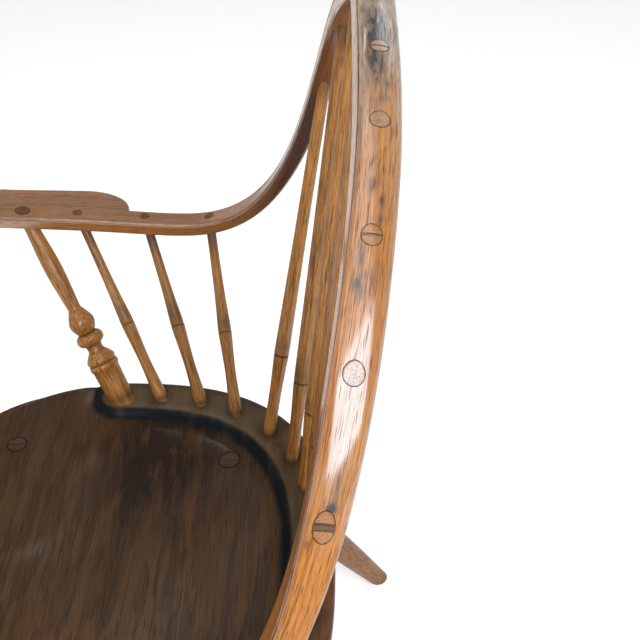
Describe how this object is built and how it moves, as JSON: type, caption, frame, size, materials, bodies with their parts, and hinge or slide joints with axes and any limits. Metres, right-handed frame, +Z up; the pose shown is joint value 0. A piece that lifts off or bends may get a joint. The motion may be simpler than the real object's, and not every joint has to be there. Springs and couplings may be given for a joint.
{
  "type": "windsor armchair",
  "caption": "Windsor armchair: a dished plank seat on splayed turned legs, a spindle back and arms formed by one bent bow that ends in widened hands.",
  "frame": {"origin": "on the floor, midway between the four feet", "axes": "+Z up, the chair faces -Y, +X towards the sitter's left"},
  "size_m": [0.7018, 0.5493, 0.9741],
  "materials": {
    "seat_wood": "dark worn varnish, satin to glossy",
    "bow_wood": "aged clear varnish, glossy",
    "spindle_wood": "aged clear varnish, satin",
    "turned_wood": "aged clear varnish, satin",
    "wedge_wood": "end grain under varnish"
  },
  "bodies": {
    "root": {"bow_and_arms": "bow_wood", "bow_wedges": "wedge_wood", "cross_stretcher": "turned_wood", "front_left_leg": "turned_wood", "front_right_leg": "turned_wood", "left_arm_post": "turned_wood", "left_arm_spindle_1": "spindle_wood", "left_arm_spindle_2": "spindle_wood", "left_arm_spindle_3": "spindle_wood", "left_back_spindle_1": "spindle_wood", "left_back_spindle_2": "spindle_wood", "left_back_spindle_3": "spindle_wood", "left_back_spindle_4": "spindle_wood", "left_back_spindle_5": "spindle_wood", "left_hand_pad": "bow_wood", "left_side_stretcher": "turned_wood", "leg_wedges": "wedge_wood", "post_wedges": "wedge_wood", "rear_left_leg": "turned_wood", "rear_right_leg": "turned_wood", "right_arm_post": "turned_wood", "right_arm_spindle_1": "spindle_wood", "right_arm_spindle_2": "spindle_wood", "right_arm_spindle_3": "spindle_wood", "right_back_spindle_1": "spindle_wood", "right_back_spindle_2": "spindle_wood", "right_back_spindle_3": "spindle_wood", "right_back_spindle_4": "spindle_wood", "right_back_spindle_5": "spindle_wood", "right_hand_pad": "bow_wood", "right_side_stretcher": "turned_wood", "seat": "seat_wood"}
  },
  "joints": []
}
